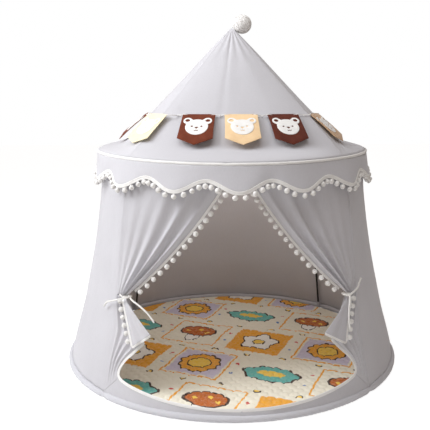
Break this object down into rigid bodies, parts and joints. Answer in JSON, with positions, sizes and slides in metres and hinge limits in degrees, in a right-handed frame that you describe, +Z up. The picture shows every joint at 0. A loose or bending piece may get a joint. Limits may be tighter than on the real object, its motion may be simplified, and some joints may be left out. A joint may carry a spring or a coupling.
{
  "type": "kids play tent",
  "caption": "Round play tent with a cone roof, scalloped valance, felt bunting, tied door curtains, pole frame and a quilted floor mat.",
  "frame": {"origin": "centre of the base ring on the floor", "axes": "+Z up, -Y out of the door, +X to the right of someone who looks at the door"},
  "size_m": [1.35, 1.35, 1.3608],
  "materials": {
    "grey_cloth": "matte",
    "white_trim": "matte",
    "black_pole": "satin",
    "black_plastic": "matte",
    "steel_hoop": "satin",
    "floor_cloth": "matte",
    "mat_cloth": "matte",
    "cream_felt": "matte",
    "brown_felt": "matte",
    "white_felt": "matte"
  },
  "bodies": {
    "root": {"back_wall": "grey_cloth", "base_hoop": "steel_hoop", "base_sleeve": "grey_cloth", "bunting_cord": "white_trim", "door_binding": "white_trim", "eave_elbow_back_left": "black_plastic", "eave_elbow_back_right": "black_plastic", "eave_elbow_front_left": "black_plastic", "eave_elbow_front_right": "black_plastic", "eave_hoop": "steel_hoop", "eave_piping": "grey_cloth", "floor_sheet": "floor_cloth", "front_sill": "grey_cloth", "left_curtain": "grey_cloth", "left_curtain_foot": "grey_cloth", "left_tie": "white_trim", "left_wall": "grey_cloth", "mat": "mat_cloth", "pole_pocket_back_left": "grey_cloth", "pole_pocket_back_right": "grey_cloth", "pole_pocket_front_left": "grey_cloth", "pole_pocket_front_right": "grey_cloth", "right_curtain": "grey_cloth", "right_curtain_foot": "grey_cloth", "right_tie": "white_trim", "right_wall": "grey_cloth", "roof_panel_back": "grey_cloth", "roof_panel_front": "grey_cloth", "roof_panel_left": "grey_cloth", "roof_panel_right": "grey_cloth", "roof_pole_back_left": "black_pole", "roof_pole_back_right": "black_pole", "roof_pole_front_left": "black_pole", "roof_pole_front_right": "black_pole", "top_hub": "black_plastic", "valance": "grey_cloth", "valance_trim": "white_trim", "wall_pole_back_left": "black_pole", "wall_pole_back_right": "black_pole", "wall_pole_front_left": "black_pole", "wall_pole_front_right": "black_pole"},
    "left_hem": {"left_hem_trim": "white_trim"},
    "left_flap": {"left_curtain_flap": "grey_cloth", "left_flap_trim": "white_trim"},
    "right_hem": {"right_hem_trim": "white_trim"},
    "right_flap": {"right_curtain_flap": "grey_cloth", "right_flap_trim": "white_trim"},
    "flag_1": {"flag_1": "brown_felt", "flag_1_bear": "white_felt"},
    "flag_2": {"flag_2": "cream_felt", "flag_2_bear": "white_felt"},
    "flag_3": {"flag_3": "brown_felt", "flag_3_bear": "white_felt"},
    "flag_4": {"flag_4": "cream_felt", "flag_4_bear": "white_felt"},
    "flag_5": {"flag_5": "brown_felt", "flag_5_bear": "white_felt"},
    "flag_6": {"flag_6": "cream_felt", "flag_6_bear": "white_felt"},
    "pompom": {"top_pompom": "white_trim"}
  },
  "joints": [
    {"name": "left_curtain_draw", "type": "hinge", "parent": "root", "child": "left_hem", "pos_m": [-0.01842, -0.52748, 0.82321], "axis": [-0.5364, -0.7952, 0.2828], "range_deg": [0, 22], "deforming": ["left_curtain"]},
    {"name": "left_flap_hang", "type": "hinge", "parent": "left_hem", "child": "left_flap", "pos_m": [-0.3785, -0.44628, 0.3686], "axis": [-0.5364, -0.7952, 0.2828], "range_deg": [-22, 0]},
    {"name": "right_curtain_draw", "type": "hinge", "parent": "root", "child": "right_hem", "pos_m": [0.01842, -0.52748, 0.82321], "axis": [-0.5364, 0.7952, -0.2828], "range_deg": [0, 22], "deforming": ["right_curtain"]},
    {"name": "right_flap_hang", "type": "hinge", "parent": "right_hem", "child": "right_flap", "pos_m": [0.3785, -0.44628, 0.3686], "axis": [-0.5364, 0.7952, -0.2828], "range_deg": [-22, 0]},
    {"name": "flag_1_lift", "type": "hinge", "parent": "root", "child": "flag_1", "pos_m": [-0.3229, -0.09981, 0.98065], "axis": [-0.1471, 0.9891, 0], "range_deg": [0, 75]},
    {"name": "flag_2_lift", "type": "hinge", "parent": "root", "child": "flag_2", "pos_m": [-0.27685, -0.25242, 0.98065], "axis": [-0.643, 0.7659, 0], "range_deg": [0, 75]},
    {"name": "flag_3_lift", "type": "hinge", "parent": "root", "child": "flag_3", "pos_m": [-0.12817, -0.31187, 0.98065], "axis": [-0.9855, 0.1699, 0], "range_deg": [0, 75]},
    {"name": "flag_4_lift", "type": "hinge", "parent": "root", "child": "flag_4", "pos_m": [0.01807, -0.32132, 0.98065], "axis": [-0.9998, -0.0194, 0], "range_deg": [0, 75]},
    {"name": "flag_5_lift", "type": "hinge", "parent": "root", "child": "flag_5", "pos_m": [0.16653, -0.30393, 0.98065], "axis": [-0.97, -0.2431, 0], "range_deg": [0, 75]},
    {"name": "flag_6_lift", "type": "hinge", "parent": "root", "child": "flag_6", "pos_m": [0.29271, -0.21343, 0.98065], "axis": [-0.4135, -0.9105, 0], "range_deg": [0, 75]},
    {"name": "pompom_flop", "type": "hinge", "parent": "root", "child": "pompom", "pos_m": [0, 0, 1.31289], "axis": [0, 1, 0], "range_deg": [-148.2, 0]}
  ],
  "couplings": [
    {"joint": "left_flap_hang", "follows": "left_curtain_draw", "ratio": -1},
    {"joint": "right_flap_hang", "follows": "right_curtain_draw", "ratio": -1}
  ]
}
